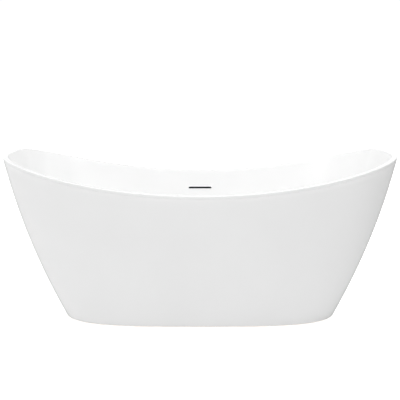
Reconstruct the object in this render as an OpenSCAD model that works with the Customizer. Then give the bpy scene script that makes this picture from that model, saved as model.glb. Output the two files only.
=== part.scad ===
/* [Outline of the tub] */
// Overall length, measured over the two raised ends
tub_l = 1700; // [1640:5:1760]
// Overall width, measured over the rim
tub_w = 780; // [760:5:800]
// Height of the rim at the two ends
end_h = 720; // [690:5:750]
// Height of the rim halfway along the sides
mid_h = 584; // [574:1:600]
// Length of the foot of the skirt
foot_l = 1208; // [1180:2:1240]
// Width of the foot of the skirt
foot_w = 560; // [550:2:580]
// How far the skirt bows out between its foot and the rim
skirt_bow = 0.43; // [0.38:0.01:0.5]

/* [Rim and shells] */
// Width of the rolled rim
lip_w = 24; // [22:1:26]
// Height of the outer face of the rim, down to the skirt
lip_h = 14; // [12:1:18]
// Thickness of the basin's acrylic and fibreglass wall
basin_t = 8; // [6:0.5:9]
// Thickness of the skirt
skirt_t = 5; // [4:0.5:6]
// Gap between the skirt and the floor of the room
floor_gap = 4; // [4:1:6]

/* [Inside of the basin] */
// Height of the basin's inside at the drain
drain_z = 130; // [130:1:130]
// Fall of the basin's floor towards the drain
floor_fall = 6; // [4:1:8]
// Length of the basin's floor, to the corner that the fillet rounds off
corner_l = 1130; // [1100:5:1140]
// Width of the basin's floor, to the corner that the fillet rounds off
corner_w = 410; // [400:5:415]
// Length of the flat part of the floor
flat_l = 960; // [930:5:980]
// Width of the flat part of the floor
flat_w = 300; // [280:5:310]

/* [Frame and feet] */
// Thickness of the plywood board under the basin
board_t = 15; // [15:1:15]
// Width of the square steel tube
tube = 30; // [28:1:30]
// Distance of each foot from the middle, along the tub
foot_x = 430; // [400:5:440]
// Distance of each rail from the middle, across the tub
rail_y = 150; // [140:1:155]
// Diameter of a foot's pad
pad_d = 50; // [44:1:54]
// Diameter of a foot's stud
stud_d = 12; // [12:1:12]

/* [Waste and overflow] */
// Diameter of the tailpiece
tail_d = 38.1; // [38:0.05:38.2]
// Length of the overflow slot
slot_l = 113; // [105:1:115]
// Height of the overflow slot
slot_h = 7.5; // [7:0.1:8]
// Place of the overflow, as a share of the way down the basin's wall
overflow_t = 0.09; // [0.088:0.001:0.092]

/* [Hidden] */
$fn = 64;
eps = 0.01;
// Clearance of a running fit, on the radius
fit = 0.05;

// Outline: exponents of the rounded rectangles, and the number of points round them
rim_n = 3.2;
foot_n = 3.4;
corner_n = 3.0;
flat_n = 2.8;
round_n = 96;
angles = [for (i = [0:round_n - 1]) 360 * i / round_n];

// Rolled rim
lip_r_out = 4;
lip_r_in = 7;
lip_end_angle = 20;
outer_turn = [90, 60, 30, 0];
inner_turn = [90, 65, 42, lip_end_angle];

// Skirt
bond_h = 14;
bond_share = 0.12;
strip_h = 30;
strip_t = 12;
skirt_levels = 8;

// Basin's wall
wall_pull = 0.7;
wall_t_in = [1, 0.9, 0.8, 0.7, 0.6, 0.5, 0.4, 0.3, 0.2, 0.1];
wall_t_out = [0.02, 0.12, 0.24, 0.36, 0.48, 0.6, 0.72, 0.84, 0.93, 1];
floor_z = drain_z + floor_fall;
under_z = drain_z - basin_t;
drain_ring_r = 60;

// Board and frame
board_z = under_z - board_t;
board_l = 1040;
board_w = 372;
board_r = 60;
board_hole_r = 62;
tube_t = 2;
rail_z = board_z - tube;
rail_l = 1000;
rail_cap_t = 3;
cross_x = [-foot_x, -150, 150, foot_x];
cross_l = 2 * rail_y - tube;
bracket_x = [-300, -75, 75, 300];
bracket_w = 36;
bracket_leg = 24;
bracket_t = 2.5;
screw_r = 2.4;
screw_head_r = 4.6;
screw_head_h = 2.4;
screw_head_ease = 1.2;
screw_l = 12;

// Feet
feet = [[-foot_x, -rail_y], [foot_x, -rail_y], [-foot_x, rail_y], [foot_x, rail_y]];
pad_h = 14;
pad_rim = 3;
pad_neck_r = 12;
stud_r = stud_d / 2;
stud_z = 6;
stud_top = 101;
stud_ball_r = 8;
stud_ball_h = 4;
wrench_z = 20;
wrench_h = 7;
wrench_r = 10.4;
nut_h = 10;
nut_r = 10.4;
play = 0.3;

// Drain
hole_r = 25;
recess_r = 37;
recess_d = 4;
drain_r = 23.5;
bore_r = 20;
tail_z = 78;
flange_r = 35;
flange_t = 3;
washer_t = 1.5;
flange_z = drain_z - recess_d + washer_t;
flange_top = flange_z + flange_t;
low_washer_t = 3.5;
drain_nut_h = 10;
drain_nut_r = 37;
spider_z = 103;
spider_h = 4;
spoke_w = 5;
boss_r = 10;
shank_r = 6;

// Pop-up plug
barrel_z = spider_z + spider_h;
barrel_r = 8.5;
barrel_top = 123;
chamber_r = 5.4;
chamber_z = 100;
chamber_top = 121;
shank_z = 97;
rod_r = 3;
rod_top = 128;
plunger_r = 5.1;
plunger_z = 108;
plunger_h = 3;
cap_r = 32;
cap_z = 131.4;
cap_edge = 1.6;
cap_h = 4.4;
hub_r = 8;
hub_z = 124;
seat_r = 27;
seat_z = 126.5;
seal_r = 13;
seal_z = 128;
spring_wire = 0.9;
spring_r = 4.2;
spring_turns = 5;
spring_steps = 12;

// Waste tee and tailpiece
tee_r = 24.5;
tee_top = 96;
tee_socket_r = 29;
tee_socket_z = 70;
tee_seat_z = 75;
tee_z = 34;
tee_bore_r = 17.5;
tail_r = tail_d / 2;
tail_upper_r = tail_r - 0.65;
tail_bottom = 8;
tail_top = 50;
tail_t = 2.2;
tail_step_z = 28;
slip_z = 29;
slip_h = 14;
slip_r = 29;
slip_lip = 3;
branch_z = 58;
branch_r = 14;
branch_y = 46;
barb_r = 9;
barb_bore_r = 7.2;
barb_l = 26;
grips = 12;

// Overflow
trim_edge = 3;
trim_l = slot_l + 2 * trim_edge;
trim_h = slot_h + 2 * trim_edge;
trim_t = 1.5;
sleeve_t = 1.1;
sleeve_l = 16;
seat_l = 146;
seat_h = 30;
seat_depth = 9.5;
gasket_t = 1.5;
box_l = 136;
box_h = 26;
box_d = 14;
box_wall = 2;
nipple_l = 22;
nipple_bore_r = barb_bore_r - 1;
nipple_z = -11;
clamp_w = 10;
clamp_t = 1;
clamp_in = 2;

// Route of the overflow hose, from the tee up to the overflow box
hose_r = 12;
hose_bore_r = 9.7;
hose_sides = 12;
hose_route = [
    [0, 48, 58], [0, 80, 58], [0, 112, 58], [0, 140, 58], [0, 166, 58], [0, 190, 61],
    [0, 212, 70], [0, 233, 85], [0, 249, 107], [0, 259, 134], [0, 264, 165], [0, 270, 200],
    [0, 279, 240], [0, 290, 280], [0, 303, 325], [0, 317, 367], [0, 331, 404], [0, 343, 434],
    [0, 349, 452], [0, 350.5, 465], [0, 350.5, 477]
];

// ---- Shapes of the shells ----

function unit(v) = v / norm(v);

// A point of a rounded rectangle: half length a, half width b, exponent n
function rounded(u, a, b, n) =
    let (k = pow(pow(abs(cos(u)), n) + pow(abs(sin(u)), n), -1 / n))
    [a * cos(u) * k, b * sin(u) * k];

function rim_plan(u) = rounded(u, tub_l / 2, tub_w / 2, rim_n);

// The rim dips in a parabola from the raised ends to the middle of the sides
function rim_z(u) = mid_h + (end_h - mid_h) * pow(rim_plan(u).x / (tub_l / 2), 2);

// Outward direction square to the rim's outline
function rim_out(u) =
    let (
        p = rim_plan(u),
        nx = sign(p.x) * pow(abs(p.x) / (tub_l / 2), rim_n - 1) / tub_l,
        ny = sign(p.y) * pow(abs(p.y) / (tub_w / 2), rim_n - 1) / tub_w,
        n = unit([nx, ny])
    )
    [n.x, n.y, 0];

// The outer face at height z, which is widest where the rim starts to roll over
function skirt_face(u, z) =
    let (
        top = rim_plan(u),
        foot = rounded(u, foot_l / 2, foot_w / 2, foot_n),
        s = min(1, z / (rim_z(u) - lip_r_out)),
        p = foot + (top - foot) * (s + skirt_bow * s * (1 - s))
    )
    [p.x, p.y, z];

// A point of the rolled rim: d inwards from the outer face, h below its top
function lip(u, d, h) = skirt_face(u, rim_z(u) - h) - d * rim_out(u);

function lip_outer(u, turn) = lip(u, lip_r_out * (1 - cos(turn)), lip_r_out * (1 - sin(turn)));

function lip_inner(u, turn) =
    let (p = rim_plan(u), d = lip_w - lip_r_in * (1 - cos(turn)))
    [p.x, p.y, rim_z(u) - lip_r_in * (1 - sin(turn))] - d * rim_out(u);

// The basin's inner wall is a cubic curve: straight down from the rim, then a fillet to the floor
function wall_poles(u) =
    let (
        start = lip_inner(u, lip_end_angle),
        c = rounded(u, corner_l / 2, corner_w / 2, corner_n),
        f = rounded(u, flat_l / 2, flat_w / 2, flat_n),
        corner = [c.x, c.y, floor_z]
    )
    [start, start + wall_pull * (corner - start), corner, [f.x, f.y, floor_z]];

function wall(u, t) =
    let (p = wall_poles(u), s = 1 - t)
    s * s * s * p[0] + 3 * s * s * t * p[1] + 3 * s * t * t * p[2] + t * t * t * p[3];

function wall_slope(u, t) =
    let (p = wall_poles(u), s = 1 - t)
    s * s * (p[1] - p[0]) + 2 * s * t * (p[2] - p[1]) + t * t * (p[3] - p[2]);

// The wall's hidden face: its thickness square to the inner face, growing to reach the flat underside
function wall_back(u, t) =
    let (
        around = wall(u + 0.5, t) - wall(u - 0.5, t),
        away = unit(cross(wall_slope(u, t), around)),
        thick = basin_t + (floor_z - under_z - basin_t) * pow(t, 6)
    )
    wall(u, t) + thick * away;

function ring_at(z, r) = [for (u = angles) [r * cos(u), r * sin(u), z]];

function band(i, j, n) = [
    for (k = [0:n - 1])
        let (a = i * n + k, b = i * n + (k + 1) % n, c = j * n + (k + 1) % n, d = j * n + k)
        each [[a, b, c], [a, c, d]]
];

// A solid through a stack of rings: closed by end faces, or looped back to its first ring
module ring_solid(rings, looped = false) {
    n = len(rings[0]);
    m = len(rings);
    sides = [for (i = [0:m - 2]) each band(i, i + 1, n)];
    ends = looped
        ? band(m - 1, 0, n)
        : [[for (k = [n - 1:-1:0]) k], [for (k = [0:n - 1]) (m - 1) * n + k]];
    polyhedron(points = [for (r = rings) each r], faces = concat(sides, ends), convexity = 8);
}

function skirt_z(u, i) =
    i == 0 ? floor_gap
    : floor_gap + strip_h + (rim_z(u) - lip_h - floor_gap - strip_h) * (i - 1) / skirt_levels;

function skirt_ring(i, inwards) =
    [for (u = angles) skirt_face(u, skirt_z(u, i)) - inwards * rim_out(u)];

// ---- Places ----

overflow_at = wall(90, overflow_t);
overflow_lean = atan2(-wall_slope(90, overflow_t).y, -wall_slope(90, overflow_t).z);

// The overflow's own frame: X along the wall, +Y into it, +Z up along it
module at_overflow() {
    translate(overflow_at) rotate([-overflow_lean, 0, 0]) children();
}

// The middle of the overflow box's lower half, where its outlet starts
nipple_y = seat_depth + gasket_t + box_d / 2;
nipple_top = overflow_at + [
    0,
    nipple_y * cos(overflow_lean) + nipple_z * sin(overflow_lean),
    nipple_z * cos(overflow_lean) - nipple_y * sin(overflow_lean)
];

module tube_between(r_out, r_in, z, h) {
    translate([0, 0, z]) difference() {
        cylinder(r = r_out, h = h);
        translate([0, 0, -eps]) cylinder(r = r_in, h = h + 2 * eps);
    }
}

module hex_nut(r, bore, z, h) {
    translate([0, 0, z]) difference() {
        cylinder(r = r, h = h, $fn = 6);
        translate([0, 0, -eps]) cylinder(r = bore, h = h + 2 * eps);
    }
}

// A bar with round ends along X, from depth y of the given depth
module slot_bar(l, h, y, depth) {
    translate([0, y, 0]) rotate([-90, 0, 0]) linear_extrude(depth) {
        square([l - h, h], center = true);
        for (x = [-1, 1]) translate([x * (l - h) / 2, 0]) circle(d = h);
    }
}

// The outside of the trim's sleeve, with a gap round it
module slot_through(gap, y, depth) {
    slot_bar(slot_l + 2 * (sleeve_t + gap), slot_h + 2 * (sleeve_t + gap), y, depth);
}

module box_at(l, h, y, depth) {
    translate([-l / 2, y, -h / 2]) cube([l, depth, h]);
}

// ---- Shells ----

module basin() {
    color("white") difference() {
        union() {
            ring_solid(concat(
                [ring_at(drain_z, drain_ring_r)],
                [for (t = wall_t_in) [for (u = angles) wall(u, t)]],
                [for (i = [len(inner_turn) - 1:-1:0]) [for (u = angles) lip_inner(u, inner_turn[i])]],
                [for (turn = outer_turn) [for (u = angles) lip_outer(u, turn)]],
                [for (d = [0, skirt_t]) [for (u = angles) lip(u, d, lip_h)]],
                [for (t = wall_t_out) [for (u = angles) wall_back(u, t)]],
                [ring_at(under_z, drain_ring_r)]
            ));
            at_overflow() box_at(seat_l, seat_h, basin_t / 2, seat_depth - basin_t / 2);
        }
        translate([0, 0, drain_z - recess_d]) cylinder(r = recess_r, h = 2 * recess_d);
        translate([0, 0, under_z - 1]) cylinder(r = hole_r, h = basin_t + 2);
        at_overflow() slot_through(play, -4, 20);
        at_overflow() slot_bar(trim_l + 2 * play, trim_h + 2 * play, -4, 4);
    }
}

module skirt() {
    color("whitesmoke") ring_solid(concat(
        [for (i = [0:skirt_levels + 1]) skirt_ring(i, 0)],
        [for (i = [skirt_levels + 1:-1:0]) skirt_ring(i, skirt_t)]
    ), looped = true);
}

// The adhesive fillet that bonds the skirt to the basin under the rim
module rim_bond() {
    function low(u) = rim_z(u) - lip_h - bond_h;
    function back(u, share) =
        wall_back(u, wall_t_out[0]) * (1 - share) + wall_back(u, wall_t_out[1]) * share + play * rim_out(u);
    color("tan") ring_solid([
        [for (u = angles) lip(u, skirt_t + play, lip_h + play)],
        [for (u = angles) back(u, 0) - [0, 0, play]],
        [for (u = angles) back(u, bond_share)],
        [for (u = angles) skirt_face(u, low(u)) - (skirt_t + play) * rim_out(u)]
    ], looped = true);
}

module skirt_strip() {
    color("burlywood") ring_solid([
        skirt_ring(0, skirt_t + play),
        skirt_ring(1, skirt_t + play),
        skirt_ring(1, skirt_t + strip_t),
        skirt_ring(0, skirt_t + strip_t)
    ], looped = true);
}

// ---- Board and frame ----

module board_screw_places() {
    for (x = bracket_x, side = [-1, 1])
        translate([x, side * (rail_y - tube / 2 - bracket_leg / 2 - bracket_t), 0]) children();
}

module rail_screw_places() {
    for (x = bracket_x, side = [-1, 1])
        translate([x, side * (rail_y - tube / 2), board_z - bracket_leg / 2 - bracket_t])
            rotate([-side * 90, 0, 0]) children();
}

module floor_board() {
    color("burlywood") translate([0, 0, board_z]) difference() {
        linear_extrude(board_t) difference() {
            union() {
                square([board_l - 2 * board_r, board_w], center = true);
                square([board_l, board_w - 2 * board_r], center = true);
                for (x = [-1, 1], y = [-1, 1])
                    translate([x * (board_l / 2 - board_r), y * (board_w / 2 - board_r)])
                        circle(board_r);
            }
            circle(board_hole_r);
        }
        board_screw_places() translate([0, 0, -1]) cylinder(r = screw_r + fit, h = screw_l);
    }
}

module rail(y) {
    color("dimgray") translate([0, y, rail_z]) difference() {
        translate([-rail_l / 2, -tube / 2, 0]) cube([rail_l, tube, tube]);
        translate([-rail_l / 2 - 1, tube_t - tube / 2, tube_t])
            cube([rail_l + 2, tube - 2 * tube_t, tube - 2 * tube_t]);
        for (x = [-foot_x, foot_x]) translate([x, 0, -1]) cylinder(r = stud_r + 1, h = tube_t + 2);
        for (x = bracket_x) translate([x, 0, tube - bracket_leg / 2 - bracket_t])
            rotate([y > 0 ? 90 : -90, 0, 0]) cylinder(r = screw_r + fit, h = tube / 2 + 1);
    }
}

module crossmember(x) {
    color("dimgray") translate([x - tube / 2, -cross_l / 2, rail_z]) difference() {
        cube([tube, cross_l, tube]);
        translate([tube_t, -1, tube_t]) cube([tube - 2 * tube_t, cross_l + 2, tube - 2 * tube_t]);
    }
}

module rail_end_caps() {
    inner = tube - 2 * tube_t;
    color("black") for (x = [-1, 1], y = [-rail_y, rail_y])
        translate([x * rail_l / 2, y, rail_z + tube / 2]) rotate([0, 0, x > 0 ? 0 : 180]) {
            translate([0, -tube / 2, -tube / 2]) cube([rail_cap_t, tube, tube]);
            translate([-10, -inner / 2, -inner / 2]) cube([10 + eps, inner, inner]);
        }
}

// An angle bracket: one leg under the board, one against the rail's inner face
module bracket() {
    difference() {
        union() {
            translate([-bracket_w / 2, -bracket_leg - bracket_t, -bracket_t])
                cube([bracket_w, bracket_leg + bracket_t, bracket_t]);
            translate([-bracket_w / 2, -bracket_t, -bracket_leg - bracket_t])
                cube([bracket_w, bracket_t, bracket_leg + bracket_t]);
        }
        translate([0, -bracket_leg / 2 - bracket_t, -bracket_t - 1])
            cylinder(r = screw_r + fit, h = bracket_t + 2);
        translate([0, 1, -bracket_leg / 2 - bracket_t])
            rotate([90, 0, 0]) cylinder(r = screw_r + fit, h = bracket_t + 2);
    }
}

module frame_brackets() {
    color("silver") for (x = bracket_x, side = [-1, 1])
        translate([x, 0, board_z]) rotate([0, 0, side > 0 ? 0 : 180])
            translate([0, rail_y - tube / 2, 0]) bracket();
}

// A screw that points up, with the underside of its head at z = 0
module screw(l) {
    cylinder(r = screw_r, h = l);
    translate([0, 0, -screw_head_h])
        cylinder(r1 = screw_head_r - screw_head_ease, r2 = screw_head_r, h = screw_head_h);
}

module frame_screws() {
    color("silver") {
        board_screw_places() translate([0, 0, board_z - bracket_t]) screw(screw_l);
        rail_screw_places() translate([0, 0, -bracket_t]) screw(bracket_t + tube_t + 3);
    }
}

// ---- Feet ----

module foot_weld_nuts() {
    color("silver") for (p = feet) translate([p.x, p.y, 0])
        hex_nut(nut_r, stud_r + fit, rail_z + tube_t, nut_h);
}

module foot_lock_nuts() {
    color("silver") for (p = feet) translate([p.x, p.y, 0])
        hex_nut(nut_r, stud_r + fit, rail_z - nut_h, nut_h);
}

module foot_stud(i) {
    color("silver") translate(feet[i]) {
        translate([0, 0, stud_z]) cylinder(r = stud_r, h = stud_top - stud_z);
        translate([0, 0, stud_z]) cylinder(r = stud_ball_r, h = stud_ball_h);
        translate([0, 0, wrench_z]) cylinder(r = wrench_r, h = wrench_h, $fn = 6);
    }
}

module foot_pad(i) {
    color("black") translate(feet[i]) rotate_extrude() polygon([
        [0, 0], [pad_d / 2 - 1, 0], [pad_d / 2, 1], [pad_d / 2, pad_rim],
        [pad_neck_r + 3, pad_h - 3], [pad_neck_r, pad_h], [stud_r + play, pad_h],
        [stud_r + play, stud_z + stud_ball_h + play], [stud_ball_r + play, stud_z + stud_ball_h + play],
        [stud_ball_r + play, stud_z - play], [0, stud_z - play]
    ]);
}

// ---- Drain and pop-up plug ----

module drain_body() {
    color("silver") union() {
        difference() {
            union() {
                translate([0, 0, tail_z]) cylinder(r = drain_r, h = flange_z - tail_z + eps);
                translate([0, 0, flange_z]) cylinder(r = flange_r, h = flange_t);
            }
            translate([0, 0, tail_z - 1]) cylinder(r = bore_r, h = seat_z - tail_z + 1 + eps);
            translate([0, 0, seat_z]) cylinder(r1 = bore_r, r2 = seat_r, h = flange_top - seat_z);
            translate([0, 0, flange_top - eps]) cylinder(r = seat_r, h = 1);
        }
        difference() {
            translate([0, 0, spider_z]) union() {
                cylinder(r = boss_r, h = spider_h);
                for (turn = [0, 120, 240]) rotate(turn)
                    translate([0, -spoke_w / 2, 0]) cube([bore_r + 1, spoke_w, spider_h]);
            }
            translate([0, 0, spider_z - 1]) cylinder(r = shank_r + fit, h = spider_h + 2);
        }
    }
}

module drain_washer_upper() {
    color("dimgray") tube_between(flange_r - 2, drain_r + play, flange_z - washer_t, washer_t);
}

module drain_washer_lower() {
    color("black") tube_between(flange_r, drain_r + play, under_z - low_washer_t, low_washer_t);
}

module drain_nut() {
    color("gold") hex_nut(drain_nut_r, drain_r + fit, under_z - low_washer_t - drain_nut_h, drain_nut_h);
}

module plug_cartridge() {
    color("gold") difference() {
        union() {
            translate([0, 0, shank_z]) cylinder(r = shank_r, h = barrel_z - shank_z + eps);
            translate([0, 0, barrel_z]) cylinder(r = barrel_r, h = barrel_top - barrel_z);
        }
        translate([0, 0, chamber_z]) cylinder(r = chamber_r, h = chamber_top - chamber_z);
        translate([0, 0, chamber_z]) cylinder(r = rod_r + play, h = barrel_top - chamber_z + 1);
    }
}

module plug_spring() {
    low = chamber_z + spring_wire / 2;
    rise = plunger_z - chamber_z - spring_wire;
    steps = spring_turns * spring_steps;
    color("silver") ring_solid([
        for (i = [0:steps])
            let (a = 360 * i / spring_steps, z = low + rise * i / steps)
            [for (k = [0:7])
                let (d = spring_wire / 2 * [cos(45 * k), sin(45 * k)])
                [(spring_r + d.x) * cos(a), (spring_r + d.x) * sin(a), z - d.y]]
    ]);
}

module plug_plunger() {
    color("gold") {
        translate([0, 0, plunger_z]) cylinder(r = plunger_r, h = plunger_h);
        translate([0, 0, plunger_z]) cylinder(r = rod_r, h = rod_top - plunger_z);
    }
}

module plug_cap() {
    rise = cap_h - cap_edge;
    dome = (pow(cap_r, 2) + pow(rise, 2)) / (2 * rise);
    color("silver") difference() {
        union() {
            translate([0, 0, cap_z]) rotate_extrude() polygon(concat(
                [[0, 0], [cap_r, 0]],
                [for (i = [0:8])
                    let (r = cap_r * (1 - i / 8))
                    [r, cap_h - dome + sqrt(pow(dome, 2) - pow(r, 2))]]
            ));
            translate([0, 0, hub_z]) cylinder(r = hub_r, h = cap_z - hub_z + 1);
        }
        translate([0, 0, hub_z - 1]) cylinder(r = rod_r + fit, h = rod_top - hub_z + 1 + eps);
    }
}

module plug_seal() {
    grow = (seat_r - bore_r) / (flange_top - seat_z);
    low_r = bore_r + (seal_z - seat_z) * grow - 2 * play;
    color("black") rotate_extrude() polygon([
        [seal_r, seal_z], [low_r, seal_z],
        [low_r + (flange_top - seal_z) * grow, flange_top],
        [low_r + (flange_top - seal_z) * grow, cap_z],
        [seal_r, cap_z]
    ]);
}

// ---- Waste tee and tailpiece ----

module waste_tee() {
    color("whitesmoke") difference() {
        union() {
            translate([0, 0, tee_socket_z]) cylinder(r = tee_socket_r, h = tee_top - tee_socket_z);
            translate([0, 0, tee_z]) cylinder(r = tee_r, h = tee_socket_z - tee_z + eps);
            translate([0, 0, branch_z]) rotate([-90, 0, 0]) cylinder(r = branch_r, h = branch_y);
            translate([0, 0, branch_z]) rotate([-90, 0, 0]) cylinder(r = barb_r, h = branch_y + barb_l);
        }
        translate([0, 0, tee_seat_z]) cylinder(r = drain_r + fit, h = tee_top - tee_seat_z + 1);
        translate([0, 0, tail_top]) cylinder(r = tee_bore_r, h = tee_seat_z - tail_top + eps);
        translate([0, 0, tee_z - 1]) cylinder(r = tail_upper_r + fit, h = tail_top - tee_z + 1 + eps);
        translate([0, 0, branch_z]) rotate([-90, 0, 0])
            cylinder(r = barb_bore_r, h = branch_y + barb_l + 1);
    }
}

module tailpiece() {
    color("silver") difference() {
        union() {
            translate([0, 0, tail_bottom]) cylinder(r = tail_r, h = tail_step_z - tail_bottom);
            translate([0, 0, tail_step_z - eps])
                cylinder(r = tail_upper_r, h = tail_top - tail_step_z + eps);
        }
        translate([0, 0, tail_bottom - 1]) cylinder(r = tail_r - tail_t, h = tail_top - tail_bottom + 2);
    }
}

module slip_washer() {
    color("black")
        tube_between(tee_r - 1, tail_upper_r + fit, slip_z + slip_lip, tee_z - slip_z - slip_lip);
}

module slip_nut() {
    color("white") difference() {
        union() {
            translate([0, 0, slip_z]) cylinder(r = slip_r, h = slip_h);
            for (i = [0:grips - 1]) rotate(360 * i / grips)
                translate([slip_r - 2, -2, slip_z]) cube([4, 4, slip_h - 3]);
        }
        translate([0, 0, slip_z - 1]) cylinder(r = tail_upper_r + fit, h = slip_lip + 2);
        translate([0, 0, slip_z + slip_lip]) cylinder(r = tee_r + fit, h = slip_h);
    }
}

// ---- Overflow ----

module overflow_trim() {
    color("silver") at_overflow() difference() {
        union() {
            slot_bar(trim_l, trim_h, -trim_t, trim_t);
            slot_through(0, -eps, sleeve_l);
        }
        slot_bar(slot_l, slot_h, -trim_t - 1, sleeve_l + trim_t + 2);
    }
}

module overflow_gasket() {
    color("black") at_overflow() difference() {
        box_at(box_l, box_h, seat_depth, gasket_t);
        slot_through(play, seat_depth - 1, gasket_t + 2);
    }
}

module overflow_box() {
    front = seat_depth + gasket_t;
    color("black") difference() {
        union() {
            at_overflow() box_at(box_l, box_h, front, box_d);
            translate(nipple_top - [0, 0, nipple_l]) cylinder(r = barb_r, h = nipple_l);
        }
        at_overflow()
            box_at(box_l - 2 * box_wall, box_h - 2 * box_wall, front + box_wall, box_d - 2 * box_wall);
        at_overflow() slot_through(play, front - 1, box_wall + 3);
        translate(nipple_top - [0, 0, nipple_l + 1]) cylinder(r = nipple_bore_r, h = nipple_l + 1);
    }
}

module overflow_hose() {
    n = len(hose_route);
    function heading(i) = unit(hose_route[min(i + 1, n - 1)] - hose_route[max(i - 1, 0)]);
    function ring(i, r) =
        let (h = heading(i), up = cross(h, [1, 0, 0]))
        [for (k = [0:hose_sides - 1])
            let (a = 360 * k / hose_sides)
            hose_route[i] + r * (cos(a) * [1, 0, 0] + sin(a) * up)];
    color("lightgray") ring_solid(concat(
        [for (i = [0:n - 1]) ring(i, hose_r)],
        [for (i = [n - 1:-1:0]) ring(i, hose_bore_r)]
    ), looped = true);
}

module clamp() {
    tube_between(hose_r + clamp_t + play, hose_r + play, 0, clamp_w);
    translate([hose_r + play, -4, 0]) cube([8, 8, clamp_w]);
}

module hose_clamps() {
    color("silver") {
        translate([0, hose_route[0].y + 3 * clamp_in, branch_z]) rotate([-90, 0, 0]) clamp();
        translate(nipple_top - [0, 0, nipple_l - clamp_in]) clamp();
    }
}

// ---- The nodes ----

basin();
skirt();
rim_bond();
skirt_strip();
floor_board();
rail(-rail_y);  // rail_front
rail(rail_y);  // rail_back
crossmember(cross_x[0]);  // crossmember_1
crossmember(cross_x[1]);  // crossmember_2
crossmember(cross_x[2]);  // crossmember_3
crossmember(cross_x[3]);  // crossmember_4
rail_end_caps();
frame_brackets();
frame_screws();
foot_weld_nuts();
foot_lock_nuts();
foot_stud(0);  // foot_front_left_stud
foot_pad(0);  // foot_front_left_pad
foot_stud(1);  // foot_front_right_stud
foot_pad(1);  // foot_front_right_pad
foot_stud(2);  // foot_back_left_stud
foot_pad(2);  // foot_back_left_pad
foot_stud(3);  // foot_back_right_stud
foot_pad(3);  // foot_back_right_pad
drain_body();
drain_washer_upper();
drain_washer_lower();
drain_nut();
plug_cartridge();
plug_spring();
plug_plunger();
plug_cap();
plug_seal();
waste_tee();
tailpiece();
slip_washer();
slip_nut();
overflow_trim();
overflow_gasket();
overflow_box();
overflow_hose();
hose_clamps();
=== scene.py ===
"""The visible surfaces of the freestanding bathtub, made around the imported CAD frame. Metres."""
from math import atan2, ceil, cos, pi, radians, sin, sqrt, tan

import bmesh
import bpy
import numpy as np
from mathutils import Matrix, Vector


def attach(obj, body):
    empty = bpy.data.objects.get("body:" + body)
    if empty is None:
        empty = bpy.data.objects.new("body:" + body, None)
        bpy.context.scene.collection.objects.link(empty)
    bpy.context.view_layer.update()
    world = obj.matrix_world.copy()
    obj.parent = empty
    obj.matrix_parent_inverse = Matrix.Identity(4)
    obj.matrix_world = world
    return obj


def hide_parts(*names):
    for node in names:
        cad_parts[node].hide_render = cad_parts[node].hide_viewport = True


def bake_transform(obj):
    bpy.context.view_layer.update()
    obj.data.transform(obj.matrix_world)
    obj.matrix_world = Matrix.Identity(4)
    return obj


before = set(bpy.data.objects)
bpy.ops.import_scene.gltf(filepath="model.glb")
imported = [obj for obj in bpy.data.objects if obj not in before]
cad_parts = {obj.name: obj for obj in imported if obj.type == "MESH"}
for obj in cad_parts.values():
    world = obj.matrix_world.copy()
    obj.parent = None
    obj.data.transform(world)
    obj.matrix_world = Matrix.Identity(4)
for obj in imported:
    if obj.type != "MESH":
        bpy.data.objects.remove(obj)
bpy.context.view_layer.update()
scene = bpy.context.scene

# ---- Sizes, as the CAD has them ----

# Outline of the tub
TUB_L, TUB_W = 1.7, 0.78
END_H, MID_H = 0.72, 0.584
FOOT_L, FOOT_W = 1.208, 0.56
SKIRT_BOW = 0.43
RIM_N, FOOT_N, CORNER_N, FLAT_N = 3.2, 3.4, 3, 2.8

# Rim and shells
LIP_W, LIP_H = 0.024, 0.014
LIP_R_OUT, LIP_R_IN = 0.004, 0.007
LIP_END = radians(20)
LIP_STRAIGHT = 0.0115
BASIN_T, SKIRT_T = 0.008, 0.005
BASIN_SKIN, SKIRT_SKIN = 0.0035, 0.0028
LAYER_GAP = 0.0001
FLOOR_GAP = 0.004
STRIP_H, STRIP_T = 0.03, 0.012
BOND_H, BOND_SHARE = 0.014, 0.12
PLAY = 0.0003

# Inside of the basin
DRAIN_Z, FLOOR_Z, UNDER_Z = 0.13, 0.136, 0.122
CORNER_L, CORNER_W = 1.13, 0.41
FLAT_L, FLAT_W = 0.96, 0.3
DRAIN_RING_R = 0.06
WALL_PULL = 0.7
OVERFLOW_T = 0.09

# Board and frame
BOARD_Z, BOARD_T = 0.107, 0.015
BOARD_L, BOARD_W, BOARD_R, BOARD_HOLE_R = 1.04, 0.372, 0.06, 0.062
TUBE, TUBE_T, TUBE_R = 0.03, 0.002, 0.0035
RAIL_Z, RAIL_L, RAIL_Y = 0.077, 1, 0.15
CAP_T = 0.003
FOOT_X = 0.43
CROSS_X = (-0.43, -0.15, 0.15, 0.43)
BRACKET_X = (-0.3, -0.075, 0.075, 0.3)
BRACKET_W, BRACKET_LEG, BRACKET_T = 0.036, 0.024, 0.0025
BRACKET_MID = BRACKET_LEG / 2 + BRACKET_T
SCREW_R, SCREW_HEAD_R, SCREW_HEAD_H = 0.0024, 0.0046, 0.0024

# Feet
FEET = {
    "front_left": (-FOOT_X, -RAIL_Y),
    "front_right": (FOOT_X, -RAIL_Y),
    "back_left": (-FOOT_X, RAIL_Y),
    "back_right": (FOOT_X, RAIL_Y),
}
NUT_R, NUT_H, NUT_BORE = 0.0104, 0.01, 0.00605
STUD_R, STUD_PITCH, STUD_TOP = 0.00598, 0.00175, 0.101
STUD_HOLE_R = 0.007

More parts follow.
